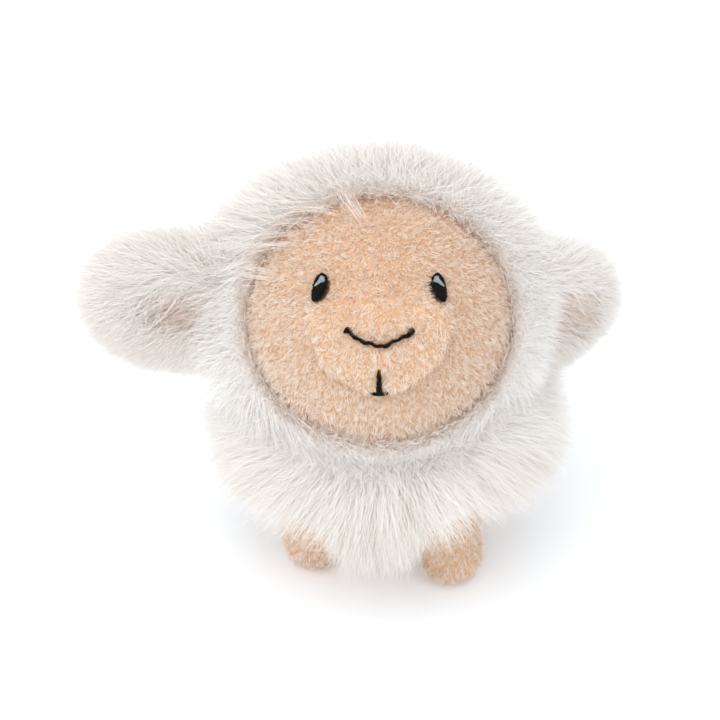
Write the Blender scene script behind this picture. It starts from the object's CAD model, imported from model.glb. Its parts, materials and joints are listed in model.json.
"""The looks of a standing plush sheep: its skins, long and short pile, embroidery, lights and camera.

Metres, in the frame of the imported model: +Z is up, the sheep faces -Y and its own left side is at +X.
Pile is made of narrow ribbons that taper to a point. Strands gather into wisps, and wisps into locks.
"""

import json
import math
from types import SimpleNamespace as Group

import bmesh
import bpy
import numpy as np
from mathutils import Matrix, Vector
from mathutils.kdtree import KDTree


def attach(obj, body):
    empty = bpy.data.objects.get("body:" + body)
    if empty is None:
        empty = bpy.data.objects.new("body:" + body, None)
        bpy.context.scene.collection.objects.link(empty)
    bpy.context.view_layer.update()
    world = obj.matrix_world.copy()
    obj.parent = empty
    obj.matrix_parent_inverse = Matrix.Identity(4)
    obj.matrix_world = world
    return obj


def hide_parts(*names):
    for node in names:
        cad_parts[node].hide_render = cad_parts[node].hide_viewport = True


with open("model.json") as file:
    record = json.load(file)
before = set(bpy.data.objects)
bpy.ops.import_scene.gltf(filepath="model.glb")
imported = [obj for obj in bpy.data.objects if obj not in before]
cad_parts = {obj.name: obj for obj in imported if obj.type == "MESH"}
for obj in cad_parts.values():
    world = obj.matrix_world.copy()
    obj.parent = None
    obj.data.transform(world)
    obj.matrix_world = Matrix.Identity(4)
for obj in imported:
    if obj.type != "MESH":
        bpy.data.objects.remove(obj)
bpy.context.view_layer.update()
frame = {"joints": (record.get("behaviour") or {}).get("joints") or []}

SEED = 7
UP = np.array((0.0, 0.0, 1.0))
GOLDEN_ANGLE = math.pi * (3 - math.sqrt(5))
SIDES = ((1, "left"), (-1, "right"))
LUMP_WAVES = ((9, 4, 2), (3, 8, -5), (-4, 5, 10))

# Body
BODY_RADII = np.array((0.049, 0.053, 0.035))
BODY_CENTRE_HEIGHT = 0.052
BODY_SKIN = 0.0008
BODY_LUMP = 0.0004
BODY_FIBRE_DROP = 0.002
BODY_FIBRE_LUMP = 0.0008
BELLY_HALF_WIDTH = 0.021
BELLY_HALF_LENGTH = 0.044
PILE_HEIGHT_SHARES = (-1, -0.5, 0, 0.5, 1)
PILE_DEPTHS = (0.0125, 0.015, 0.0165, 0.013, 0.008)
BODY_TONES = (0.05, 1.0)
BODY_TONE_HEIGHTS = (-0.5, 0.2)
BODY_OUTWARD_SHARE = 0.6
NECK_STANDING_SHARE = 0.9
BARE_UNDER_HEAD = 0.003
BARE_OVER_LEG_SHARE = 0.8

# Head
HEAD_RADIUS = 0.0475
HEAD_FIBRE_DROP = 0.0065
HEAD_FIBRE_LUMP = 0.0006
HOOD_SKIN_DROP = 0.0006
HOOD_NODES = ("hood_left_cover", "hood_right_cover")
HOOD_PILE_DEPTH = 0.0135
HOOD_UNDER_DROP = 0.006
HOOD_UNDER_HEIGHTS = (0.2, 0.7)
HOOD_BODY_GAP = 0.001
HOOD_FLAT_SHARE = 0.8
HOOD_FALL_SHARE = 0.45
CHIN_RISES = (0.2, 0.7)
CHIN_FACINGS = (-0.4, 0.1)
CHIN_FORWARD_SHARE = 0.35
CROWN_TONE = 0.4
CROWN_FACINGS = (-0.1, 0.4)
CROWN_HEIGHTS = (0.3, 0.9)
UNDER_HEAD_TONE = 0.3
UNDER_HEAD_HEIGHTS = (0.0, 0.7)
FACE_TURN = 6
FACE_TILT = 29.2
FACE_ROLL = 0.3
FACE_ACROSS_ANGLE = 76.6
FACE_UP_ANGLE = 64.3
FACE_PILE_DEPTH = 0.0024
FACE_BED_DROP = 0.0042
SEAM_MARGIN = 0.0014
MOUTH_RADIUS = 0.023
MOUTH_HALF_ANGLE = 57
MUZZLE_BULGE = 0.0045
MUZZLE_TOP = 0.014
MUZZLE_FADE = 0.016
LIP_WIDTH = 0.004

# Embroidery, in the plane of the face
THREAD_RADIUS = 0.00021
THREAD_SPACING = 0.0003
THREAD_RISE = -0.0004
THREAD_DIP = 0.002
THREAD_SUNK = -0.0033
THREAD_SIDES = 6
THREAD_STEPS = 7
THREAD_END_ANGLE = 0.02
THREAD_END_POWER = 0.35
STITCH_SLANT = 0.25
STITCH_RAGGED_SHARE = 0.22
NOSE_WIDTH = 0.0013
NOSE_LENGTH = 0.0235
NOSE_SHARES = (0.85, 0.15, 0.9)
NOSE_BLOBS = (0.84, 0.92)
NOSE_HALF_WIDTH = 0.0102
NOSE_TOP = -0.0026
NOSE_BOTTOM = -0.0074
NOSE_BEND = 1.6
NOSE_WANDER = 0.00045
NOSE_WAVES = (11, 23, 29)
MOUTH_WIDTH = 0.0007
MOUTH_SUNK_SHARES = (0.06, 0.22)
PHILTRUM_WIDTH = 0.0016
PHILTRUM_LENGTH = 0.015
PHILTRUM_TOP_SHARE = 0.4
PHILTRUM_FULL_SHARES = (0.42, 0.6)
PHILTRUM_RISEN_SHARES = (0.4, 0.55)
EYE_SPREAD = 0.0193
EYE_HEIGHT = 0.0107
EYE_HALF_WIDTH = 0.0028
EYE_HALF_HEIGHT = 0.0048
EYE_LEAN = 9
EYE_DOME = 0.0012
EYE_EDGE_SHARES = (-0.05, 0.09)
SHINE_HALF_WIDTH = 0.0017
SHINE_HALF_HEIGHT = 0.0038
SHINE_OUTWARD = -0.0006
SHINE_BASE = 0.0004
SHINE_SLOPE = 0.85
SHINE_LIFT = 0.00025

# Pile of the face: bare under the thread, parted along the mouth and below the nose
MOUTH_BARE_SHARES = (0.44, 0.57)
BARE_MARGIN = 0.0004
BARE_WIDTH_SHARE = 0.62
PHILTRUM_BARE_SHARE = 0.5
BARE_STEPS = 150
MOUTH_PARTING_SHARES = (0.08, 0.92)
PARTING_WIDTH = 0.0006
PARTING_PULL = 0.08
PARTING_REACH = 0.0017
PARTING_UPS = (-0.012, 0.004)
GROOVE_REACH = 0.0012
GROOVE_SHARE = 0.5
FACE_COMB_MIDDLE = 0.06
FACE_COMB_SHARE = 0.5
MUZZLE_COMB_DROP = 0.04
FACE_DEPTH_SHARES = (0.95, 0.3)
FACE_TONES = Group(left=0.2, top=0.12, muzzle=-0.35, crease=1.3)
LEFT_FACE = (-0.01, 0.045)
TOP_FACE = (0.005, 0.04)

# Ears, along, through and across each ear
EAR_LENGTH = 0.052
EAR_RADII = np.array((0.030, 0.0095, 0.0245))
EAR_SKIN_LENGTH = 0.045
EAR_SKIN_HALF_THICKNESS = 0.004
EAR_SKIN_HALF_WIDTH = 0.0165
EAR_ROOT_SHARE = 0.2
EAR_HOLLOW = 0.0035
EAR_PILE_DEPTH = 0.009
LINING_DEPTH = 0.004
LINED_RAGGED_SHARE = 0.25
EAR_FLARE_SHARE = 0.7
EAR_TONES = (0.35, 0.8)
EAR_TONE_HEIGHTS = (-0.3, 0.7)
EAR_ROOT_REACH = 0.024
EAR_ROOT_PULL = 2.2
EARS = (
    Group(
        name="left_ear", side=1, sweep=41, droop=23, crests=((0.45, 0.65), (-0.7, 0.1)),
        reach=(1.02, 1.2), roundness=2.6, taper=0.25, lined_middle=-0.1, lined_shares=(1.0, 0.8),
    ),
    Group(
        name="right_ear", side=-1, sweep=5, droop=3, crests=((0.65, 1.1), (0, 0.4), (-0.7, 0.5)),
        reach=(1.18, 1.3), roundness=2.8, taper=0.15, lined_middle=-0.4, lined_shares=(0.9, 0.6),
    ),
)

# Legs
LEG_SKIN_RADIUS = 0.0102
FOOT_SKIN_RADIUS = 0.0112
SOLE_RADIUS = 0.006
LEG_RINGS = 12
ANKLE_HEIGHT = 0.010
SOLE_PILE = 0.0012
LEG_PILE_DEPTH = 0.0022
SOLE_DEPTH_DROP = 0.0012
LEG_OUTWARD_SHARE = 0.3
LEG_FIBRE_SHARE = 0.86
LEG_VALUES = ("name", "forward", "sideways", "side", "end", "parting", "aside")
LEGS = tuple(
    Group(**dict(zip(LEG_VALUES, row)))
    for row in (
        ("front_left_leg", 5, 4, 1, -1, 0.85, 0.01),
        ("front_right_leg", -5, 4, -1, -1, 0.6, 0.003),
        ("rear_left_leg", 0, 0, 1, 1, 0.4, 0),
        ("rear_right_leg", 0, 0, -1, 1, 0.4, 0),
    )
)

# Tail
TAIL_SKIN_LENGTH = 0.022
TAIL_SKIN_RADIUS = 0.005
TAIL_DROOP = 40
TAIL_PILE_DEPTH = 0.006
TAIL_TONE = 0.35

# Wisps on the forehead: where each leaves the seam round the face, and where it points, in degrees
FRINGE = (
    (163, 4), (159, 12), (155, 36), (151, 16), (147, 34),
    (142, 26), (137, 30), (130, 14), (109, -52), (106, -44),
)
FRINGE_SPREAD = 0.0003
FRINGE_BAND = 0.001
FRINGE_DEPTH = 0.002
FRINGE_RAGGED = 0.001
FRINGE_HEIGHTS = (0.001, 0.0038, 0.0042, 0.0034, 0.0026, 0.0018, 0.001)

FLOOR_GAP = 0.0015


def like(pile, **changes):
    return Group(**{**vars(pile), **changes})


# Piles: lengths and widths in metres, angles in degrees
LONG_PILE = Group(
    length=0.020, ragged=0.3, width=0.00016, steps=3, droop=0.2, spread=30, wave=0.002,
    wisps=24, wisp_spread=24, wisp_pull=0.28, locks=300, lock_spread=30, lock_pull=0.5, roll=30,
    shade=0.12,
)
EAR_PILE = like(
    LONG_PILE, length=0.016, spread=28, wave=0.0016,
    wisps=22, wisp_pull=0.26, locks=200, lock_spread=26, lock_pull=0.45,
)
LINING_PILE = like(
    LONG_PILE, length=0.009, width=0.00013, droop=0.1, spread=22, wave=0.0008,
    wisp_pull=0.45, locks=120, lock_spread=24, lock_pull=0.4, roll=50, shade=0.3,
)
CURLY_PILE = like(
    LONG_PILE, length=0.0027, droop=0.0, wave=0.0005, wisps=10, wisp_spread=46, wisp_pull=0.75,
    locks=110, lock_spread=34, lock_pull=0.2, roll=50, shade=0.35,
)
FRINGE_PILE = like(
    LONG_PILE, length=0.029, width=0.00011, steps=6, droop=0.0, spread=3, wave=0.0007, wisps=8,
    wisp_spread=7, wisp_pull=0.75, locks=40, lock_spread=5, lock_pull=0.2, shade=0.2,
)
RIM_PILE = like(
    LONG_PILE, length=0.0085, ragged=0.4, width=0.00014, droop=0.1, spread=32, wave=0.0012, wisps=20,
    wisp_spread=26, wisp_pull=0.35, locks=140, lock_spread=24, lock_pull=0.4, shade=0.2,
)
STRETCH_LIMITS = (0.3, 2.5)
LEAST_LEVEL_STEP = 0.02
REACH_CONTRAST = 1.5
LEAN_LIMITS = (0.12, 0.98)
LEAN_SHARES = (0.55, 1.4)
STEEPEST_LEAN = 86
WISP_BEND_POWER = 0.8
TAPER_POWER = 4

# How far the tips of each pile reach, as the size of a shell through them
BODY_REACH_SHARES = (0.98, 1.16)
CHEST_LOCK_SHARE = 0.03
CHEST_HALF_WIDTH = 0.02
CHEST_FACINGS = (0.2, 0.8)
LEAST_KEPT_SHARE = 0.15
HEM_PLACES = (-0.05, 0.0, 0.019, 0.029, 0.033, 0.045, 0.055)
HEM_HEIGHTS = (0.026, 0.028, 0.029, 0.043, 0.052, 0.046, 0.036)
HEM_DEPTH = 0.008
HEM_CUT_SHARE = 0.85
HEM_FRONT_LENGTH = 0.03
LEG_PARTING_OUT_SHARE = 1.5
LEG_PARTING_RADIUS = 0.015
LEG_PARTING_HEIGHTS = (0.030, 0.046)
NECK_FILL_RADIUS = 0.016
NECK_FILL_SHARE = 0.12
ROOTS_IN_HEAD = 0.004
BODY_HEAD_GAP = 0.001
HOOD_HEAD_GAP = 0.0005
HOOD_REACH_SHARES = (1.0, 1.42)
CHIN_REACH_SHARES = (0.3, 1.05)
CREST_RADIUS = 0.026
SEAM_PILE_SHARE = 0.3
SEAM_FADE = 0.014
LINED_REACH = (0.62, 0.85)
RIM_REACH = (0.001, 0.005)
RIM_BAND = (-0.0045, 0.007)
RIM_FULL = 0.002
RIM_FADE = 0.001
RIM_DEPTH = 0.007
RIM_SWAY = 0.6
RIM_LEAN_SHARES = (0.75, 0.95)

# How many strands each piece has
BODY_SIDE_STRANDS = 38000
BELLY_STRANDS = 7000
HOOD_SIDE_STRANDS = 35000
EAR_STRANDS = 24000
FACE_STRANDS = 39000
FRINGE_WISP_STRANDS = 12
RIM_STRANDS = 22000
LEG_STRANDS = 8000
TAIL_STRANDS = 5000

# Camera: its place from the middle of the head, and where that middle falls in its picture
CAMERA_DISTANCE = 0.6
CAMERA_AZIMUTH = 6
CAMERA_ELEVATION = 30
PICTURE_SIZE = 720
PICTURE_FOCUS = 1740
SENSOR_MILLIMETRES = 36
HEAD_PIXEL = (379, 319)

# Stage
FLOOR_SIZE = 12.0
LIGHT_SIZE = 1.4
LIGHTS = (
    Group(name="key_light", place=(-0.45, -0.9, 1.15), power=9.4, colour=(1, 0.985, 0.965)),
    Group(name="fill_light", place=(0.9, -0.6, 0.8), power=2, colour=(0.97, 0.985, 1)),
)
SURROUND_STRENGTH = 1.15


# Vectors and frames


def unit(vectors):
    return vectors / np.maximum(np.linalg.norm(vectors, axis=-1, keepdims=True), 1e-12)


def dot(a, b):
    return np.sum(a * b, axis=-1, keepdims=True)


def smooth(value, low, high):
    share = np.clip((value - low) / (high - low), 0, 1)
    return share * share * (3 - 2 * share)


def between(ends, share):
    return ends[0] + (ends[1] - ends[0]) * share


def bell(distance, radius):
    """1 at no distance, falling to 0 well beyond the radius."""
    return np.exp(-((distance / radius) ** 2))


def rotation(axis, degrees):
    """A 3 by 3 matrix that turns by the right-hand rule about axis 0, 1 or 2."""
    c, s = math.cos(math.radians(degrees)), math.sin(math.radians(degrees))
    matrix = np.eye(3)
    i, j = (axis + 1) % 3, (axis + 2) % 3
    matrix[i, i] = matrix[j, j] = c
    matrix[j, i] = s
    matrix[i, j] = -s
    return matrix


JOINTS = {joint["child"]: np.array(joint["pos_m"]) for joint in frame["joints"]}
HEAD_CENTRE = JOINTS["head"]
BODY_CENTRE = np.mean([JOINTS[leg.name] for leg in LEGS], axis=0)
BODY_CENTRE[2] = BODY_CENTRE_HEIGHT
HEAD_AXES = rotation(2, FACE_TURN)
FACE_AXES = HEAD_AXES @ rotation(0, 90 - FACE_TILT) @ rotation(2, FACE_ROLL)
FACE_ACROSS, FACE_RISE, FACE_OUT = FACE_AXES.T


# Surfaces, each given by direction from its middle


def body_surface(directions):
    return BODY_CENTRE + directions * BODY_RADII + unit(directions / BODY_RADII) * BODY_SKIN


def seam_angle(turn):
    """How far the seam between face and hood lies from the face's middle, as seen from the head's."""
    across, up = np.sin(np.radians((FACE_ACROSS_ANGLE, FACE_UP_ANGLE)))
    return np.arcsin(1 / np.hypot(np.cos(turn) / across, np.sin(turn) / up))


def beyond_seam(directions):
    """The way over the head from the seam between face and hood, negative inside the face."""
    across, rise, out = (directions @ FACE_AXES).T
    return HEAD_RADIUS * (np.arccos(np.clip(out, -1, 1)) - seam_angle(np.arctan2(rise, across)))


def seam_directions(turn, beyond):
    """Directions at a turn round the face, a way beyond its seam."""
    angle = seam_angle(turn) + beyond / HEAD_RADIUS
    local = (np.sin(angle) * np.cos(turn), np.sin(angle) * np.sin(turn), np.cos(angle))
    return np.column_stack(local) @ FACE_AXES.T


def hood_surface(directions):
    bed = np.where(beyond_seam(directions) < SEAM_MARGIN, FACE_BED_DROP, HOOD_SKIN_DROP)
    return HEAD_CENTRE + directions * (HEAD_RADIUS - bed)[:, None]


def muzzle_swell(across, up):
    from_mouth = MOUTH_RADIUS - np.hypot(across, up)
    lip = smooth(from_mouth, -LIP_WIDTH / 2, LIP_WIDTH / 2)
    return MUZZLE_BULGE * lip * (1 - smooth(up, MUZZLE_TOP - MUZZLE_FADE, MUZZLE_TOP))


def face_plane(directions):
    return HEAD_RADIUS * (directions @ FACE_ACROSS), HEAD_RADIUS * (directions @ FACE_RISE)


def face_surface(directions):
    swell = muzzle_swell(*face_plane(directions))
    return HEAD_CENTRE + directions * (HEAD_RADIUS + swell - FACE_PILE_DEPTH)[:, None]


def ear_surface(ear, directions):
    along, through, up = (directions * (ear.side, 1, 1)).T
    root = EAR_ROOT_SHARE * (1 - along) / 2
    reach = np.clip(1 - along**2 - up**2, 0, 1)
    hollow = EAR_HOLLOW * reach * (through < 0)
    outward = ear.side * EAR_SKIN_LENGTH * (1 + along) / 2
    back = EAR_SKIN_HALF_THICKNESS * through + hollow
    local = np.column_stack((outward, back, EAR_SKIN_HALF_WIDTH * (1 - root) * up))
    return JOINTS[ear.name] + local @ ear_axes(ear).T


def ear_axes(ear):
    return HEAD_AXES @ rotation(2, ear.side * ear.sweep) @ rotation(1, ear.side * ear.droop)


def leg_profile(hip_height):
    """Radius and height of a leg's skin from the middle of its sole to the top of its dome."""
    turns = np.linspace(0, math.pi / 2, LEG_RINGS)
    sole = SOLE_PILE - hip_height
    foot_radii = between((SOLE_RADIUS, FOOT_SKIN_RADIUS), np.sin(turns))
    foot_heights = sole + ANKLE_HEIGHT * (1 - np.cos(turns))
    radii = np.concatenate(((0,), foot_radii, LEG_SKIN_RADIUS * np.cos(turns)))
    heights = np.concatenate(((sole,), foot_heights, LEG_SKIN_RADIUS * np.sin(turns)))
    steps = np.hypot(np.diff(radii), np.diff(heights)) * (radii[1:] + radii[:-1])
    shares = np.append(0, np.cumsum(steps) / np.sum(steps))
    return shares, radii, heights


def leg_axes(leg):
    return rotation(0, -leg.forward) @ rotation(1, -leg.sideways)


def leg_surface(leg, directions):
    hip = JOINTS[leg.name]
    shares, radii, heights = leg_profile(hip[2])
    share = (1 + directions[:, 2]) / 2
    round_about = unit(directions[:, :2] + 1e-9) * np.interp(share, shares, radii)[:, None]
    local = np.column_stack((round_about, np.interp(share, shares, heights)))
    return hip + local @ leg_axes(leg).T


def tail_surface(directions):
    local = directions * (TAIL_SKIN_RADIUS, TAIL_SKIN_LENGTH / 2, TAIL_SKIN_RADIUS)
    local[:, 1] += TAIL_SKIN_LENGTH / 2
    return JOINTS["tail"] + local @ rotation(0, -TAIL_DROOP).T


def spread_directions(count, rng):
    """Directions that cover a ball evenly, each moved about as far as to its neighbour."""
    index = np.arange(count) + 0.5
    height = 1 - 2 * index / count
    turn = index * GOLDEN_ANGLE
    across = np.sqrt(1 - height**2)
    even = np.stack((across * np.cos(turn), across * np.sin(turn), height), axis=1)
    return unit(even + rng.normal(scale=1 / math.sqrt(count), size=even.shape))


def with_normals(surface, directions):
    """Points of a surface and its outward normals there."""
    tiny = 1e-3
    helper = np.where(np.abs(directions[:, :1]) > 0.8, (0, 1, 0), (1, 0, 0))
    side = unit(np.cross(directions, helper))
    other = np.cross(directions, side)
    along = surface(unit(directions + tiny * side)) - surface(unit(directions - tiny * side))
    across = surface(unit(directions + tiny * other)) - surface(unit(directions - tiny * other))
    return surface(directions), unit(np.cross(along, across))


# Meshes


def mesh_object(name, points, corners, sizes, material):
    """A mesh object made from arrays: points, the corners of all faces in a row, and each face's size."""
    mesh = bpy.data.meshes.new(name)
    mesh.vertices.add(len(points))
    mesh.vertices.foreach_set("co", points.astype(np.float32).ravel())
    mesh.loops.add(len(corners))
    mesh.loops.foreach_set("vertex_index", corners.astype(np.int32))
    mesh.polygons.add(len(sizes))
    mesh.polygons.foreach_set("loop_start", (np.cumsum(sizes) - sizes).astype(np.int32))
    mesh.update(calc_edges=True)
    mesh.validate()
    mesh.shade_smooth()
    mesh.materials.append(material)
    piece = bpy.data.objects.new(name, mesh)
    bpy.context.scene.collection.objects.link(piece)
    return piece


def skin(name, surface, fineness, material, lump=0.0, keep=None):
    """A closed skin: a fine ball whose points are sent to the surface, made a little lumpy."""
    ball = bmesh.new()
    bmesh.ops.create_icosphere(ball, subdivisions=fineness, radius=1)
    directions = unit(np.array([v.co for v in ball.verts]))
    corners = np.array([[v.index for v in f.verts] for f in ball.faces])
    ball.free()
    points, normals = with_normals(surface, directions)
    waves = np.sin(directions @ np.transpose(LUMP_WAVES))
    points = points + normals * (lump * waves.mean(axis=1))[:, None]
    if keep is not None:
        corners = corners[keep(directions)[corners].all(axis=1)]
    return mesh_object(name, points, corners.ravel(), np.full(len(corners), 3), material)


# Pile


def nearest(roots, guides):
    """The index of the guide that stands nearest to each root."""
    tree = KDTree(len(guides))
    for index, guide in enumerate(guides):
        tree.insert(guide, index)
    tree.balance()
    return np.array([tree.find(root)[1] for root in roots])


def flow(roots, normals, comb, lean, pile, spread, rng):
    """The paths of strands: each leaves its root steeply, bends over along the comb and droops."""
    count = len(roots)
    jitter = math.radians(spread) * rng.normal(size=(count, 3))
    length = pile.length * (1 + pile.ragged * rng.uniform(-1, 1, size=(count, 1)))
    phase = rng.uniform(0, math.tau, size=(count, 1))
    side = np.cross(normals, comb)
    paths = [roots]
    for step in range(pile.steps):
        share = (step + 0.5) / pile.steps
        angle = np.minimum(lean * between(LEAN_SHARES, share), math.radians(STEEPEST_LEAN))[:, None]
        heading = normals * np.cos(angle) + comb * np.sin(angle) + jitter
        heading = unit(heading - UP * (pile.droop * share))
        turn = phase + math.tau * share
        sway = side * np.cos(turn) + comb * np.sin(turn)
        paths.append(paths[-1] + heading * (length / pile.steps) + sway * pile.wave)
    return np.stack(paths, axis=1)


def gather(paths, guides, pull, rng):
    """Paths drawn to the nearest guide, more so towards their tips, and the index of that guide."""
    index = nearest(paths[:, 0], guides[:, 0])
    share = np.linspace(0, 1, paths.shape[1])[None, :, None]
    weight = pull * share**WISP_BEND_POWER * rng.uniform(0.5, 1, size=(len(paths), 1, 1))
    return paths * (1 - weight) + guides[index] * weight, index


def fitted(paths, middle, radii, target, axes=np.eye(3), power=2):
    """Paths stretched or drawn in from their roots, so that each tip lies on the shell it is meant for.

    A shell is the ellipsoid of the given radii, made larger or smaller about its middle. A power
    over 2 makes it squarer.
    """
    local = np.abs((paths - middle) @ axes / radii)
    level = np.maximum(np.sum(local**power, axis=-1, keepdims=True) ** (1 / power), 1e-6)
    root, tip = level[:, :1], level[:, -1:]
    stretch = (target[:, None, None] - root) / np.maximum(tip - root, LEAST_LEVEL_STEP)
    stretch = np.clip(stretch, *STRETCH_LIMITS)
    return middle + (paths - middle) * (root + (level - root) * stretch) / level


def grow(name, roots, normals, comb, depth, pile, material, rng, shape=None, tone=0.0):
    """Strands that stand as high as the depth, as one mesh that holds their shades and shares."""
    count, steps = len(roots), pile.steps
    comb = unit(comb - normals * dot(comb, normals))
    lean = np.arccos(np.clip(np.full(count, depth) / pile.length, *LEAN_LIMITS))
    chosen = rng.permutation(count)

    def guide_paths(every, spread):
        index = chosen[: max(4, count // every)]
        return flow(roots[index], normals[index], comb[index], lean[index], pile, spread, rng)

    locks = guide_paths(pile.locks, pile.lock_spread)
    wisps, lock_of = gather(guide_paths(pile.wisps, pile.wisp_spread), locks, pile.lock_pull, rng)
    strands = flow(roots, normals, comb, lean, pile, pile.spread, rng)
    strands, wisp_of = gather(strands, wisps, pile.wisp_pull, rng)
    if shape is not None:
        of_wisp = (rng.uniform(size=len(wisps)) + rng.uniform(size=len(locks))[lock_of]) / 2
        reach = (rng.uniform(size=count) + 2 * of_wisp[wisp_of]) / 3
        strands = shape(strands, np.clip(0.5 + REACH_CONTRAST * (reach - 0.5), 0, 1))
    strands[:, :, 2] = np.maximum(strands[:, :, 2], FLOOR_GAP)

    tangents = unit(np.gradient(strands, axis=1))
    side = unit(np.cross(tangents, normals[:, None, :]))
    roll = math.radians(pile.roll) * rng.normal(size=(count, 1, 1))
    side = side * np.cos(roll) + np.cross(tangents, side) * np.sin(roll)
    share = np.linspace(0, 1, steps + 1)
    width = (pile.width / 2 * (1 - share**TAPER_POWER))[None, :, None]
    edges = np.stack((strands - side * width, strands + side * width), axis=2)[:, :-1]
    points = np.concatenate((edges.reshape(count, -1, 3), strands[:, -1:]), axis=1)

    rows = np.arange(steps - 1)[:, None] * 2
    quads = (rows + np.array((0, 1, 3, 2))).ravel()
    tip = np.arange(2 * steps - 2, 2 * steps + 1)
    corners = np.arange(count)[:, None] * (2 * steps + 1) + np.concatenate((quads, tip))
    sizes = np.tile([4] * (steps - 1) + [3], count)
    piece = mesh_object(name, points.reshape(-1, 3), corners.ravel(), sizes, material)

    along = np.tile(np.append(np.repeat(share[:-1], 2), 1), count)
    of_wisp = rng.uniform(size=len(wisps))[wisp_of]
    shade = np.clip(pile.shade * (rng.uniform(size=count) + of_wisp) + tone, 0, 1)
    shades = np.repeat(shade, 2 * steps + 1)
    for label, values in (("strand_t", along), ("strand_shade", shades)):
        layer = piece.data.attributes.new(label, "FLOAT", "POINT")
        layer.data.foreach_set("value", values.astype(np.float32))
    corner_map = piece.data.uv_layers.new(name="OFBake")
    places = np.column_stack((shades, along))[corners.ravel()]
    corner_map.data.foreach_set("uv", places.astype(np.float32).ravel())
    return piece


# Materials


def material_with(name, roughness, sheen, specular):
    """A material and its nodes, with a shader whose constant values sit on its own sockets."""
    material = bpy.data.materials.new(name)
    material.use_nodes = True
    shader = material.node_tree.nodes["Principled BSDF"]
    shader.inputs["Roughness"].default_value = roughness
    shader.inputs["Sheen Weight"].default_value = sheen
    shader.inputs["Specular IOR Level"].default_value = specular
    return material, material.node_tree.nodes, material.node_tree.links, shader


def ramp(nodes, stops):
    """A colour ramp with the given places and colours."""
    node = nodes.new("ShaderNodeValToRGB")
    elements = node.color_ramp.elements
    while len(elements) < len(stops):
        elements.new(0.5)
    for element, (place, colour) in zip(elements, stops):
        element.position = place
        element.color = (*colour, 1)
    return node


def attribute(nodes, name):
    node = nodes.new("ShaderNodeAttribute")
    node.attribute_name = name
    return node.outputs["Fac"]


def colour_socket(sockets, name):
    return next(socket for socket in sockets if socket.name == name and socket.type == "RGBA")


def pile_material(name, middle, light, dark, sheen=0.2):
    """Pile coloured at root, middle and tip, each strand between a light and a dark set of colours."""
    material, nodes, links, shader = material_with(name, roughness=0.9, sheen=sheen, specular=0.15)
    mix = nodes.new("ShaderNodeMix")
    mix.data_type = "RGBA"
    for socket, shades in (("A", light), ("B", dark)):
        colours = ramp(nodes, tuple(zip((0, middle, 1), shades)))
        links.new(attribute(nodes, "strand_t"), colours.inputs["Fac"])
        links.new(colours.outputs["Color"], colour_socket(mix.inputs, socket))
    links.new(attribute(nodes, "strand_shade"), mix.inputs["Factor"])
    links.new(colour_socket(mix.outputs, "Result"), shader.inputs["Base Color"])
    return material


def grained_material(name, kind, low, high, grain, bump, roughness):
    """Cloth, fibre or thread with a fine uneven colour and surface."""
    material, nodes, links, shader = material_with(name, roughness, kind.sheen, kind.specular)
    noise = nodes.new("ShaderNodeTexNoise")
    noise.inputs["Scale"].default_value = grain
    noise.inputs["Detail"].default_value = kind.detail
    links.new(nodes.new("ShaderNodeTexCoord").outputs["Object"], noise.inputs["Vector"])
    colours = ramp(nodes, ((kind.low_at, low), (1 - kind.low_at, high)))
    links.new(noise.outputs["Fac"], colours.inputs["Fac"])
    links.new(colours.outputs["Color"], shader.inputs["Base Color"])
    relief = nodes.new("ShaderNodeBump")
    relief.inputs["Strength"].default_value = kind.relief
    relief.inputs["Distance"].default_value = bump
    links.new(noise.outputs["Fac"], relief.inputs["Height"])
    links.new(relief.outputs["Normal"], shader.inputs["Normal"])
    return material


WHITE_PILE = pile_material(
    "white_long_pile", 0.4,
    ((0.93, 0.88, 0.84), (0.955, 0.935, 0.915), (0.965, 0.952, 0.94)),
    ((0.85, 0.78, 0.735), (0.87, 0.825, 0.785), (0.88, 0.845, 0.81)),
)
RIM_FUR = pile_material(
    "warm_rim_pile", 0.5,
    ((0.93, 0.87, 0.82), (0.955, 0.925, 0.9), (0.965, 0.95, 0.935)),
    ((0.9, 0.79, 0.7), (0.935, 0.88, 0.835), (0.95, 0.925, 0.905)),
)
LINING_FUR = pile_material(
    "pinkish_ear_pile", 0.5,
    ((0.86, 0.74, 0.66), (0.905, 0.83, 0.775), (0.925, 0.87, 0.83)),
    ((0.8, 0.64, 0.54), (0.865, 0.76, 0.685), (0.895, 0.815, 0.755)),
)
TAN_PILE = pile_material(
    "tan_curly_pile", 0.5,
    ((0.845, 0.705, 0.59), (0.905, 0.832, 0.742), (0.925, 0.885, 0.83)),
    ((0.71, 0.495, 0.35), (0.83, 0.703, 0.59), (0.88, 0.79, 0.7)),
    sheen=0.15,
)
CLOTH = Group(sheen=0.3, specular=0.1, detail=6, low_at=0.35, relief=0.5)
WHITE_CLOTH, TAN_CLOTH, FIBRE = (
    grained_material(name, CLOTH, low, high, grain, bump, roughness=0.95)
    for name, low, high, grain, bump in (
        ("white_backing", (0.88, 0.8, 0.75), (0.94, 0.89, 0.86), 900, 0.0003),
        ("tan_backing", (0.62, 0.35, 0.18), (0.8, 0.56, 0.37), 900, 0.0004),
        ("stuffing_fibre", (0.82, 0.81, 0.79), (0.95, 0.94, 0.92), 300, 0.0012),
    )
)
THREAD = Group(sheen=0.0, specular=0.12, detail=2, low_at=0.3, relief=0.4)
BLACK_THREAD, GREY_THREAD = (
    grained_material(name, THREAD, low, high, 2600, THREAD_RADIUS / 2, roughness)
    for name, low, high, roughness in (
        ("black_thread", (0.002, 0.002, 0.002), (0.006, 0.0055, 0.005), 0.6),
        ("grey_thread", (0.24, 0.27, 0.29), (0.42, 0.46, 0.48), 0.45),
    )
)


# Pieces


def place(piece, body, slot, replaced):
    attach(piece, body)
    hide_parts(*replaced)


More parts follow.
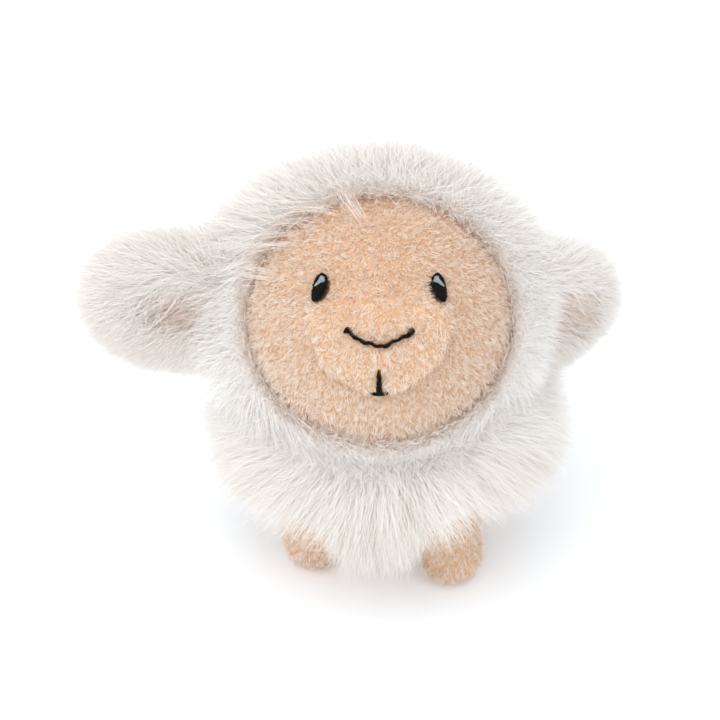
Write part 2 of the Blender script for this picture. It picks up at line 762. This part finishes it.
def stream(number):
    return np.random.default_rng((SEED, number))


def rooted(surface, count, number):
    """A stream, directions spread evenly by it, and the points and normals of a surface there."""
    rng = stream(number)
    directions = spread_directions(count, rng)
    return rng, directions, *with_normals(surface, directions)


def outside_head(paths, gap):
    """Strands pushed out of the head, so that they flow round it."""
    offset = paths - HEAD_CENTRE
    distance = np.linalg.norm(offset, axis=-1, keepdims=True)
    floor = np.linspace(-ROOTS_IN_HEAD, gap, paths.shape[1])[:, None] + HEAD_RADIUS
    return HEAD_CENTRE + offset / distance * np.maximum(distance, floor)


def body_pile_depth(directions):
    return np.interp(directions[:, 2], PILE_HEIGHT_SHARES, PILE_DEPTHS)


def near_head(points):
    """How close places on the body lie to the neck, from 0 to 1."""
    return bell(np.linalg.norm(points - HEAD_CENTRE, axis=1) - HEAD_RADIUS, NECK_FILL_RADIUS)


def body_comb(points):
    """Downwards, and out from under the neck, where it stands up and fills the valley."""
    away = points - HEAD_CENTRE
    away[:, 2] = 0
    neck = near_head(points)[:, None]
    return (BODY_OUTWARD_SHARE + neck) * unit(away) - (1 - NECK_STANDING_SHARE * neck) * UP


def on_belly(points):
    offset = (points - BODY_CENTRE)[:, :2] / (BELLY_HALF_WIDTH, BELLY_HALF_LENGTH)
    return (np.sum(offset**2, axis=1) < 1) & (points[:, 2] < BODY_CENTRE_HEIGHT)


def fitted_body(paths, reach):
    """Strands of the body that end on its outer shape, longer in front, parted over the legs."""
    directions = unit((paths - BODY_CENTRE) / BODY_RADII)
    depth = body_pile_depth(directions.reshape(-1, 3)).reshape(directions.shape[:2])
    tips = paths[:, -1]
    middle = bell(tips[:, 0] - BODY_CENTRE[0], CHEST_HALF_WIDTH)
    middle *= smooth(-directions[:, -1, 1], *CHEST_FACINGS)
    target = between(BODY_REACH_SHARES, reach) + CHEST_LOCK_SHARE * middle * reach
    target += NECK_FILL_SHARE * near_head(paths[:, 0])
    paths = fitted(paths, BODY_CENTRE, BODY_RADII + depth[..., None], target)
    front = 1 - smooth(tips[:, 1] - BODY_CENTRE[1], 0, HEM_FRONT_LENGTH)
    hem = np.interp(tips[:, 0] - BODY_CENTRE[0], HEM_PLACES, HEM_HEIGHTS)
    kept = 1 - HEM_CUT_SHARE * front * smooth(hem - paths[:, -1, 2], 0, HEM_DEPTH)
    for leg in LEGS:
        outward, lengthways = ((paths[:, -1] - JOINTS[leg.name])[:, :2] * (leg.side, leg.end)).T
        outward = outward - leg.aside
        outward = np.where(outward > 0, outward / LEG_PARTING_OUT_SHARE, outward)
        sideways = outward / LEG_PARTING_RADIUS
        inward = np.minimum(lengthways, 0) / LEG_PARTING_RADIUS
        low = 1 - smooth(paths[:, -1, 2], *LEG_PARTING_HEIGHTS)
        kept -= leg.parting * low * np.exp(-((sideways**2 + inward**2) ** 2))
    return paths[:, :1] + (paths - paths[:, :1]) * np.maximum(kept, LEAST_KEPT_SHARE)[:, None, None]


def body_pile(name, count, keep, number):
    rng, directions, points, normals = rooted(body_surface, count, number)
    chosen = keep(points) & (np.linalg.norm(points - HEAD_CENTRE, axis=1) > HEAD_RADIUS - BARE_UNDER_HEAD)
    for leg in LEGS:
        from_leg = np.linalg.norm((points - JOINTS[leg.name])[:, :2], axis=1)
        chosen &= (from_leg > LEG_SKIN_RADIUS * BARE_OVER_LEG_SHARE) | (points[:, 2] > BODY_CENTRE_HEIGHT)
    points, normals, directions = points[chosen], normals[chosen], directions[chosen]
    depth = body_pile_depth(directions)
    tone = between(BODY_TONES, smooth(-directions[:, 2], *BODY_TONE_HEIGHTS))
    shape = lambda paths, reach: outside_head(fitted_body(paths, reach), BODY_HEAD_GAP)
    comb = body_comb(points)
    return grow(name, points, normals, comb, depth, LONG_PILE, WHITE_PILE, rng, shape, tone)


def build_body():
    cover = skin("body_skin", body_surface, 5, WHITE_CLOTH, BODY_LUMP)
    place(cover, "body", "long_pile", ("body_left_cover", "body_right_cover", "belly_cover"))
    for side, name in SIDES:
        keep = lambda points: ((points[:, 0] - BODY_CENTRE[0]) * side > 0) & ~on_belly(points)
        pile = body_pile(f"body_{name}_pile", 2 * BODY_SIDE_STRANDS, keep, 10 + side)
        place(pile, "body", "long_pile", (f"body_{name}_cover",))
    pile = body_pile("belly_pile", 6 * BELLY_STRANDS, on_belly, 12)
    place(pile, "body", "long_pile", ("belly_cover",))
    inner = lambda d: BODY_CENTRE + d * (BODY_RADII - BODY_FIBRE_DROP)
    place(skin("body_fibre", inner, 4, FIBRE, BODY_FIBRE_LUMP), "body", "stuffing", ("body_stuffing",))


def on_chin(directions):
    """How far directions from the head's middle point below the face, from 0 to 1."""
    return smooth(-directions @ FACE_RISE, *CHIN_RISES) * smooth(directions @ FACE_OUT, *CHIN_FACINGS)


def hood_comb(points):
    """Back from the face, down from the chin, and out along the ears near their roots."""
    directions = unit(points - HEAD_CENTRE)
    from_face = smooth(directions @ FACE_OUT, 0, 0.5)[:, None]
    chin = on_chin(directions)[:, None]
    comb = -FACE_OUT * (1 - HOOD_FLAT_SHARE * from_face) - HOOD_FALL_SHARE * UP
    comb = comb * (1 - chin) + chin * (CHIN_FORWARD_SHARE * FACE_OUT - UP)
    for ear in EARS:
        away = np.linalg.norm(points - JOINTS[ear.name], axis=1, keepdims=True)
        comb += EAR_ROOT_PULL * bell(away, EAR_ROOT_REACH) * (ear.side * ear_axes(ear)[:, 0])
    return comb


def fitted_hood(paths, reach):
    """Strands of the hood that end on its outer shape, shorter at the seam, taller by the ears."""
    tall = between(HOOD_REACH_SHARES, reach)
    outer = HEAD_RADIUS + HOOD_PILE_DEPTH
    roots, tips = unit(paths[:, 0] - HEAD_CENTRE), unit(paths[:, -1] - HEAD_CENTRE)
    chin = on_chin(roots)
    tall = tall * (1 - chin) + between(CHIN_REACH_SHARES, reach) * chin
    for ear in EARS:
        root = unit(JOINTS[ear.name] - HEAD_CENTRE)
        for rise, amount in ear.crests:
            away = outer * np.linalg.norm(tips - unit(root + rise * UP), axis=1)
            tall += amount * bell(away, CREST_RADIUS)
    from_seam = smooth(beyond_seam(roots), 0, SEAM_FADE)
    tall = tall * (SEAM_PILE_SHARE + (1 - SEAM_PILE_SHARE) * from_seam)
    target = (HEAD_RADIUS + HOOD_PILE_DEPTH * tall) / outer
    return outside_head(fitted(paths, HEAD_CENTRE, outer, target), HOOD_HEAD_GAP)


def build_hood():
    cover = skin("hood_skin", hood_surface, 5, WHITE_CLOTH)
    place(cover, "head", "long_pile", HOOD_NODES)
    surface = lambda d: HEAD_CENTRE + d * (HEAD_RADIUS - HOOD_SKIN_DROP)
    for side, name in SIDES:
        rng, directions, points, normals = rooted(surface, 4 * HOOD_SIDE_STRANDS, 20 + side)
        in_body = (((points - BODY_CENTRE) / (BODY_RADII + HOOD_BODY_GAP)) ** 2).sum(axis=1) < 1
        on_side = side * (directions @ HEAD_AXES[:, 0]) > 0
        chosen = (beyond_seam(directions) > 0) & ~in_body & on_side
        points, directions = points[chosen], directions[chosen]
        depth = HOOD_PILE_DEPTH - HOOD_UNDER_DROP * smooth(-directions[:, 2], *HOOD_UNDER_HEIGHTS)
        front = smooth(directions @ FACE_OUT, *CROWN_FACINGS)
        tone = CROWN_TONE * front * smooth(directions[:, 2], *CROWN_HEIGHTS)
        tone += UNDER_HEAD_TONE * smooth(-directions[:, 2], *UNDER_HEAD_HEIGHTS)
        pile = grow(
            f"hood_{name}_pile", points, normals[chosen], hood_comb(points), depth, LONG_PILE, WHITE_PILE,
            rng, fitted_hood, tone,
        )
        place(pile, "head", "long_pile", (f"hood_{name}_cover",))


def build_rim():
    """Short hair along the seam, that leans in over the face, most of all at its lower rim."""
    rng = stream(27)
    turn = rng.uniform(-math.pi, math.pi, size=RIM_STRANDS)
    beyond = between(RIM_BAND, np.sqrt(rng.uniform(size=RIM_STRANDS)))
    directions = seam_directions(turn, beyond)
    points = HEAD_CENTRE + directions * (HEAD_RADIUS - HOOD_SKIN_DROP)
    inward = FACE_OUT - directions * dot(directions, FACE_OUT)
    lower = smooth(-np.sin(turn), -0.2, 0.7)
    sway = rng.normal(scale=RIM_SWAY, size=(RIM_STRANDS, 1)) * np.cross(FACE_OUT, directions)
    comb = unit(inward) * between(RIM_LEAN_SHARES, lower)[:, None] + sway

    def shape(paths, reach):
        height = between(RIM_REACH, reach) * smooth(beyond, RIM_BAND[0] - RIM_FADE, RIM_FULL)
        return fitted(paths, HEAD_CENTRE, HEAD_RADIUS, 1 + height / HEAD_RADIUS)

    pile = grow("rim_pile", points, directions, comb, RIM_DEPTH, RIM_PILE, RIM_FUR, rng, shape)
    place(pile, "head", "long_pile", HOOD_NODES)


def build_fringe():
    """A few thin pinkish wisps, most of them over the right side of the forehead."""
    rng = stream(25)
    count = len(FRINGE) * FRINGE_WISP_STRANDS
    turn, heading = np.radians(np.repeat(FRINGE, FRINGE_WISP_STRANDS, axis=0)).T
    turn = turn + rng.normal(scale=FRINGE_SPREAD / HEAD_RADIUS, size=count)
    directions = seam_directions(turn, rng.uniform(0, FRINGE_BAND, size=count))
    points = HEAD_CENTRE + directions * HEAD_RADIUS
    seen = np.cos(heading)[:, None] * FACE_ACROSS + np.sin(heading)[:, None] * FACE_RISE
    comb = seen - FACE_OUT * dot(seen, directions) / dot(directions, FACE_OUT)

    def shape(paths, reach):
        lift = np.array(FRINGE_HEIGHTS) + FRINGE_RAGGED * (reach[:, None] - 0.5)
        return HEAD_CENTRE + unit(paths - HEAD_CENTRE) * (HEAD_RADIUS + lift)[..., None]

    depth = FRINGE_DEPTH
    pile = grow("fringe_pile", points, directions, comb, depth, FRINGE_PILE, LINING_FUR, rng, shape)
    place(pile, "head", "long_pile", ("hood_right_cover",))


def face_point(across, up, height):
    """A point over the face, from its place in the plane of the face."""
    out = np.sqrt(HEAD_RADIUS**2 - across**2 - up**2)
    directions = np.stack((across, up, out), axis=-1) @ FACE_AXES.T / HEAD_RADIUS
    return HEAD_CENTRE + directions * (HEAD_RADIUS + muzzle_swell(across, up) + height)[..., None]


def nose_line(share):
    """The V of the nose, from the sheep's right end at 0 to its left end at 1, stitched unevenly."""
    from_middle = 2 * share - 1
    drop = (NOSE_TOP - NOSE_BOTTOM) * np.abs(from_middle) ** NOSE_BEND
    wander = NOSE_WANDER * np.sin(NOSE_WAVES[0] * share + 0.8) * np.sin(NOSE_WAVES[2] * share)
    return NOSE_HALF_WIDTH * from_middle, NOSE_BOTTOM + drop + wander


def mouth_line(share):
    """An arc about the middle of the face, below it."""
    angle = np.radians(-90 + MOUTH_HALF_ANGLE * (2 * share - 1))
    return MOUTH_RADIUS * np.cos(angle), MOUTH_RADIUS * np.sin(angle)


def philtrum_line(share):
    top = NOSE_BOTTOM - NOSE_WIDTH / 2
    return np.zeros_like(share), between((top, -MOUTH_RADIUS), share)


def tubes(name, paths, material):
    """Threads as closed tubes that narrow to a point at both ends."""
    count, steps, _ = paths.shape
    tangents = unit(np.gradient(paths, axis=1))
    side = unit(np.cross(tangents, np.broadcast_to(FACE_OUT, tangents.shape)))
    other = np.cross(side, tangents)
    turns = np.arange(THREAD_SIDES) * math.tau / THREAD_SIDES
    swing = np.linspace(THREAD_END_ANGLE, math.pi - THREAD_END_ANGLE, steps)
    narrowing = np.sin(swing) ** THREAD_END_POWER
    ring = side[:, :, None] * np.cos(turns)[:, None] + other[:, :, None] * np.sin(turns)[:, None]
    points = paths[:, :, None] + ring * (THREAD_RADIUS * narrowing)[None, :, None, None]
    sides = np.arange(THREAD_SIDES)
    after = (sides + 1) % THREAD_SIDES
    low = np.arange(steps - 1)[:, None] * THREAD_SIDES
    high = low + THREAD_SIDES
    walls = np.stack((low + sides, low + after, high + after, high + sides), axis=2).ravel()
    caps = np.concatenate((sides[::-1], (steps - 1) * THREAD_SIDES + sides))
    corners = np.arange(count)[:, None] * steps * THREAD_SIDES + np.concatenate((walls, caps))
    sizes = np.tile([4] * (len(walls) // 4) + [THREAD_SIDES] * 2, count)
    return mesh_object(name, points.reshape(-1, 3), corners.ravel(), sizes, material)


def satin(name, starts, ends, rise, material, rng, base=0.0):
    """Stitches laid side by side, each arching from one edge of its shape to the other."""
    share = np.linspace(0, 1, THREAD_STEPS)[None, :, None]
    line = starts[:, None] * (1 - share) + ends[:, None] * share
    arch = 1 - (2 * share[0, :, 0] - 1) ** 4
    dip = base + np.minimum(0, rise) - THREAD_DIP
    height = dip[:, None] * (1 - arch) + (base + rise)[:, None] * arch
    height = height + rng.normal(scale=THREAD_RADIUS / 4, size=(len(starts), 1))
    paths = face_point(line[..., 0], line[..., 1], height)
    return tubes(name, paths, material)


def satin_line(name, line, length, width_at, rise_at, number):
    rng = stream(number)
    count = int(length / THREAD_SPACING)
    share = (np.arange(count) + 0.5) / count
    step = 0.5 / count
    at = lambda share: np.column_stack(line(np.clip(share, 0, 1)))
    here = at(share)
    ahead = unit(at(share + step) - at(share - step))
    across = np.column_stack((-ahead[:, 1], ahead[:, 0])) + STITCH_SLANT * ahead
    uneven = rng.uniform(-STITCH_RAGGED_SHARE, STITCH_RAGGED_SHARE, count)
    half = (width_at(share) / 2 * (1 + uneven))[:, None]
    return satin(name, here - across * half, here + across * half, rise_at(share), BLACK_THREAD, rng)


def eye_places(side, u, v):
    """Places in the plane of the face, from an eye's own across and along."""
    lean = math.radians(side * EYE_LEAN)
    across = side * EYE_SPREAD + u * math.cos(lean) - v * math.sin(lean)
    return np.column_stack((across, EYE_HEIGHT + u * math.sin(lean) + v * math.cos(lean)))


def build_eye(side, name):
    rng = stream(40 + side)
    count = int(2 * EYE_HALF_HEIGHT / THREAD_SPACING)
    v = EYE_HALF_HEIGHT * (2 * (np.arange(count) + 0.5) / count - 1)
    half = EYE_HALF_WIDTH * np.sqrt(1 - (v / EYE_HALF_HEIGHT) ** 2)
    edges = []
    for direction in (-1, 1):
        u = direction * half * (1 + rng.uniform(*EYE_EDGE_SHARES, count))
        edges.append(eye_places(side, u, v + direction * THREAD_SPACING / 2))
    dome = EYE_DOME * (half / EYE_HALF_WIDTH) + THREAD_RISE
    eye = satin(name + "_eye_stitches", *edges, dome, BLACK_THREAD, rng)
    place(eye, "head", "black_thread", (name + "_eye",))

    shine = np.abs(v) < SHINE_HALF_HEIGHT
    v, dome = v[shine], dome[shine]
    half = SHINE_HALF_WIDTH * np.sqrt(1 - (v / SHINE_HALF_HEIGHT) ** 2)
    outer_end = SHINE_OUTWARD + half
    inner_end = np.maximum(SHINE_OUTWARD - half, (SHINE_BASE - v) / SHINE_SLOPE)
    shine = outer_end - inner_end > THREAD_SPACING * 2
    v, dome, inner_end, outer_end = v[shine], dome[shine], inner_end[shine], outer_end[shine]
    starts, ends = (eye_places(side, side * u, v) for u in (inner_end, outer_end))
    patch = satin(
        name + "_eye_shine_stitches", starts, ends, dome + SHINE_LIFT, GREY_THREAD, rng,
        base=SHINE_LIFT,
    )
    place(patch, "head", "grey_thread", (name + "_eye_highlight",))


def under_thread(across, up):
    """Whether a place on the face lies under embroidery, where no pile grows."""
    covered = np.zeros(len(across), bool)
    for side in (1, -1):
        lean = math.radians(side * EYE_LEAN)
        x, y = across - side * EYE_SPREAD, up - EYE_HEIGHT
        u, v = x * math.cos(lean) + y * math.sin(lean), y * math.cos(lean) - x * math.sin(lean)
        u, v = u / (EYE_HALF_WIDTH + BARE_MARGIN), v / (EYE_HALF_HEIGHT + BARE_MARGIN)
        covered |= u**2 + v**2 < 1
    for line, width, first, last in (
        (nose_line, NOSE_WIDTH, 0, 1),
        (mouth_line, MOUTH_WIDTH, *MOUTH_BARE_SHARES),
        (philtrum_line, PHILTRUM_WIDTH, PHILTRUM_BARE_SHARE, 1),
        (mouth_line, PARTING_WIDTH, *MOUTH_PARTING_SHARES),
        (philtrum_line, PARTING_WIDTH, 0, 1),
    ):
        for x, y in zip(*line(np.linspace(first, last, BARE_STEPS))):
            covered |= np.hypot(across - x, up - y) < width * BARE_WIDTH_SHARE
    return covered


def build_face():
    near_face = lambda d: beyond_seam(d) < 2 * SEAM_MARGIN
    cover = skin("face_skin", face_surface, 6, TAN_CLOTH, keep=near_face)
    place(cover, "head", "short_pile", ("face_cover",))
    rng, directions, points, normals = rooted(face_surface, int(2.6 * FACE_STRANDS), 30)
    across, up = face_plane(directions)
    chosen = (beyond_seam(directions) < SEAM_MARGIN) & ~under_thread(across, up)
    points, normals, across, up = points[chosen], normals[chosen], across[chosen], up[chosen]
    swell = muzzle_swell(across, up) / MUZZLE_BULGE
    from_mouth = np.hypot(across, up)
    crease = bell(from_mouth - MOUTH_RADIUS, PARTING_REACH) * (1 - smooth(up, *PARTING_UPS))
    groove = bell(across, GROOVE_REACH) * (up < NOSE_BOTTOM) * (up > -MOUTH_RADIUS)
    away = PARTING_PULL * crease * np.sign(from_mouth - MOUTH_RADIUS) / from_mouth
    sideways = across * (1 + away) + PARTING_PULL * groove * np.sign(across)
    fall = FACE_COMB_SHARE * (up - FACE_COMB_MIDDLE) - MUZZLE_COMB_DROP * swell + away * up
    comb = sideways[:, None] * FACE_ACROSS + fall[:, None] * FACE_RISE
    crease = np.maximum(crease, GROOVE_SHARE * groove)
    depth = FACE_PILE_DEPTH * between(FACE_DEPTH_SHARES, crease)
    tone = FACE_TONES.left * smooth(across, *LEFT_FACE) + FACE_TONES.top * smooth(up, *TOP_FACE)
    tone += FACE_TONES.muzzle * swell + FACE_TONES.crease * crease
    pile = grow("face_pile", points, normals, comb, depth, CURLY_PILE, TAN_PILE, rng, tone=tone)
    place(pile, "head", "short_pile", ("face_cover",))
    inner = lambda d: HEAD_CENTRE + d * (HEAD_RADIUS - HEAD_FIBRE_DROP)
    place(skin("head_fibre", inner, 4, FIBRE, HEAD_FIBRE_LUMP), "head", "stuffing", ("head_stuffing",))


def build_embroidery():
    """Nose, philtrum and mouth, the last two sunk in the pile but near where they meet."""
    from_middle = lambda s: np.abs(2 * s - 1)

    def nose_width(s):
        plain, wave, blob = NOSE_SHARES
        blobs = blob * smooth(from_middle(s), *NOSE_BLOBS)
        return NOSE_WIDTH * (plain + wave * np.sin(NOSE_WAVES[1] * s) + blobs)

    flat = lambda s: np.full(len(s), THREAD_RISE)
    thin = lambda s: MOUTH_WIDTH * (1 - from_middle(s) / 2)
    ends = lambda s: between((THREAD_RISE, THREAD_SUNK), smooth(from_middle(s), *MOUTH_SUNK_SHARES))
    lower = lambda s: PHILTRUM_WIDTH * between((PHILTRUM_TOP_SHARE, 1), smooth(s, *PHILTRUM_FULL_SHARES))
    sunk = lambda s: between((THREAD_SUNK, THREAD_RISE), smooth(s, *PHILTRUM_RISEN_SHARES))
    mouth_length = math.radians(2 * MOUTH_HALF_ANGLE) * MOUTH_RADIUS
    for name, line, length, width_at, rise_at, number in (
        ("nose", nose_line, NOSE_LENGTH, nose_width, flat, 50),
        ("mouth", mouth_line, mouth_length, thin, ends, 51),
        ("philtrum", philtrum_line, PHILTRUM_LENGTH, lower, sunk, 52),
    ):
        stitches = satin_line(name + "_thread", line, length, width_at, rise_at, number)
        place(stitches, "head", "black_thread", (name + "_stitches",))
    for side, name in SIDES:
        build_eye(side, name)


def build_ear(ear, number):
    surface = lambda d: ear_surface(ear, d)
    outward, back, up = ear_axes(ear).T * np.array(((ear.side,), (1,), (1,)))
    cover = skin(ear.name + "_skin", surface, 4, WHITE_CLOTH)
    place(cover, ear.name, "long_pile", (ear.name + "_cover",))
    rng, directions, points, normals = rooted(surface, EAR_STRANDS, number)
    along = (ear.side * directions[:, 0] - ear.lined_middle) / ear.lined_shares[0]
    from_middle = np.hypot(along, directions[:, 2] / ear.lined_shares[1])
    uneven = rng.normal(scale=LINED_RAGGED_SHARE, size=len(points))
    lined = (directions[:, 1] < 0) & (from_middle + uneven < 1)
    flare = directions[:, 2:3] * up
    middle = JOINTS[ear.name] + outward * EAR_LENGTH / 2
    axes = np.column_stack((outward, back, up))

    def tapered(paths):
        local = (paths[:, -1] - middle) @ axes / EAR_RADII
        return 1 - ear.taper * np.clip(local[:, 0] * np.abs(local[:, 2]), -1, 1)

    for part, chosen, pile, material, slot, node, depth, shares in (
        ("pile", ~lined, EAR_PILE, WHITE_PILE, "long_pile", "_cover", EAR_PILE_DEPTH, ear.reach),
        ("lining_pile", lined, LINING_PILE, LINING_FUR, "ear_lining", "_lining", LINING_DEPTH, LINED_REACH),
    ):
        shape = lambda paths, share: fitted(
            paths, middle, EAR_RADII, between(shares, share) * tapered(paths), axes, ear.roundness
        )
        comb = outward + EAR_FLARE_SHARE * flare[chosen]
        tone = between(EAR_TONES, smooth(-directions[chosen, 2], *EAR_TONE_HEIGHTS))
        piece = grow(
            f"{ear.name}_{part}", points[chosen], normals[chosen], comb, depth, pile, material, rng,
            shape, tone,
        )
        place(piece, ear.name, slot, (ear.name + node,))


def build_leg(leg, number):
    surface = lambda d: leg_surface(leg, d)
    cover = skin(leg.name + "_skin", surface, 5, TAN_CLOTH)
    nodes = (leg.name + "_outer_cover", leg.name + "_inner_cover")
    place(cover, leg.name, "short_pile", nodes)
    rng, directions, points, normals = rooted(surface, LEG_STRANDS, number)
    comb = LEG_OUTWARD_SHARE * unit(points - JOINTS[leg.name]) - UP
    depth = LEG_PILE_DEPTH - SOLE_DEPTH_DROP * smooth(-directions[:, 2], 0.9, 1)
    pile = grow(leg.name + "_pile", points, normals, comb, depth, CURLY_PILE, TAN_PILE, rng)
    place(pile, leg.name, "short_pile", nodes)
    inner = lambda d: between((JOINTS[leg.name], surface(d)), LEG_FIBRE_SHARE)
    place(skin(leg.name + "_fibre", inner, 3, FIBRE), leg.name, "stuffing", (leg.name + "_stuffing",))


def build_tail():
    cover = skin("tail_skin", tail_surface, 4, WHITE_CLOTH)
    nodes = ("tail_upper_cover", "tail_under_cover")
    place(cover, "tail", "long_pile", nodes)
    rng, _, points, normals = rooted(tail_surface, TAIL_STRANDS, 70)
    along = rotation(0, -TAIL_DROOP)[:, 1]
    depth = TAIL_PILE_DEPTH
    pile = grow("tail_pile", points, normals, along, depth, EAR_PILE, WHITE_PILE, rng, tone=TAIL_TONE)
    place(pile, "tail", "long_pile", nodes)


# Stage


def build_stage():
    """A pale floor, a white surround, and a wide soft light from the upper left of the picture."""
    corners = np.array(((-1, -1, 0), (1, -1, 0), (1, 1, 0), (-1, 1, 0))) * FLOOR_SIZE / 2
    material, _, _, shader = material_with("pale_floor", roughness=0.8, sheen=0.0, specular=0.1)
    shader.inputs["Base Color"].default_value = (0.935, 0.97, 1, 1)
    shader.inputs["Emission Color"].default_value = (0.93, 0.96, 1, 1)
    shader.inputs["Emission Strength"].default_value = 0.075
    floor = mesh_object("floor", corners, np.arange(4), np.array([4]), material)
    scene = bpy.context.scene
    scene.view_settings.view_transform = "Standard"
    scene.cycles.max_bounces = 18
    scene.cycles.diffuse_bounces = 14
    scene.world = bpy.data.worlds.new("white_surround")
    scene.world.use_nodes = True
    nodes, links = scene.world.node_tree.nodes, scene.world.node_tree.links
    height = nodes.new("ShaderNodeSeparateXYZ")
    links.new(nodes.new("ShaderNodeTexCoord").outputs["Generated"], height.inputs[0])
    sky = ramp(nodes, ((0, (0.5, 0.51, 0.52)), (0.5, (0.79, 0.8, 0.81)), (1, (0.98, 0.99, 1))))
    links.new(height.outputs["Z"], sky.inputs["Fac"])
    surround = nodes["Background"]
    links.new(sky.outputs["Color"], surround.inputs["Color"])
    surround.inputs["Strength"].default_value = SURROUND_STRENGTH
    for lamp in LIGHTS:
        light = bpy.data.lights.new(lamp.name, "AREA")
        light.size, light.energy, light.color = LIGHT_SIZE, lamp.power, lamp.colour
        holder = bpy.data.objects.new(lamp.name, light)
        scene.collection.objects.link(holder)
        holder.location = lamp.place
        aim(holder, HEAD_CENTRE)


def aim(holder, target):
    """Turns a light or camera, level, towards a point."""
    heading = Vector(target) - holder.location
    holder.rotation_euler = heading.to_track_quat("-Z", "Y").to_euler()


def build_camera():
    away = rotation(2, CAMERA_AZIMUTH) @ rotation(0, -CAMERA_ELEVATION) @ (0, -1, 0)
    right = unit(np.cross(UP, away))
    above = np.cross(away, right)
    half = PICTURE_SIZE / 2
    pixel = CAMERA_DISTANCE / PICTURE_FOCUS
    target = HEAD_CENTRE + pixel * ((half - HEAD_PIXEL[0]) * right + (HEAD_PIXEL[1] - half) * above)
    lens = bpy.data.cameras.new("camera")
    lens.sensor_width = SENSOR_MILLIMETRES
    lens.lens = lens.sensor_width * PICTURE_FOCUS / PICTURE_SIZE
    camera = bpy.data.objects.new("camera", lens)
    bpy.context.scene.collection.objects.link(camera)
    camera.location = HEAD_CENTRE + CAMERA_DISTANCE * away
    aim(camera, target)
    bpy.context.scene.camera = camera


build_stage()
build_camera()
build_body()
build_hood()
build_rim()
build_fringe()
build_face()
build_embroidery()
for index, ear in enumerate(EARS):
    build_ear(ear, 60 + index)
for index, leg in enumerate(LEGS):
    build_leg(leg, 80 + index)
build_tail()
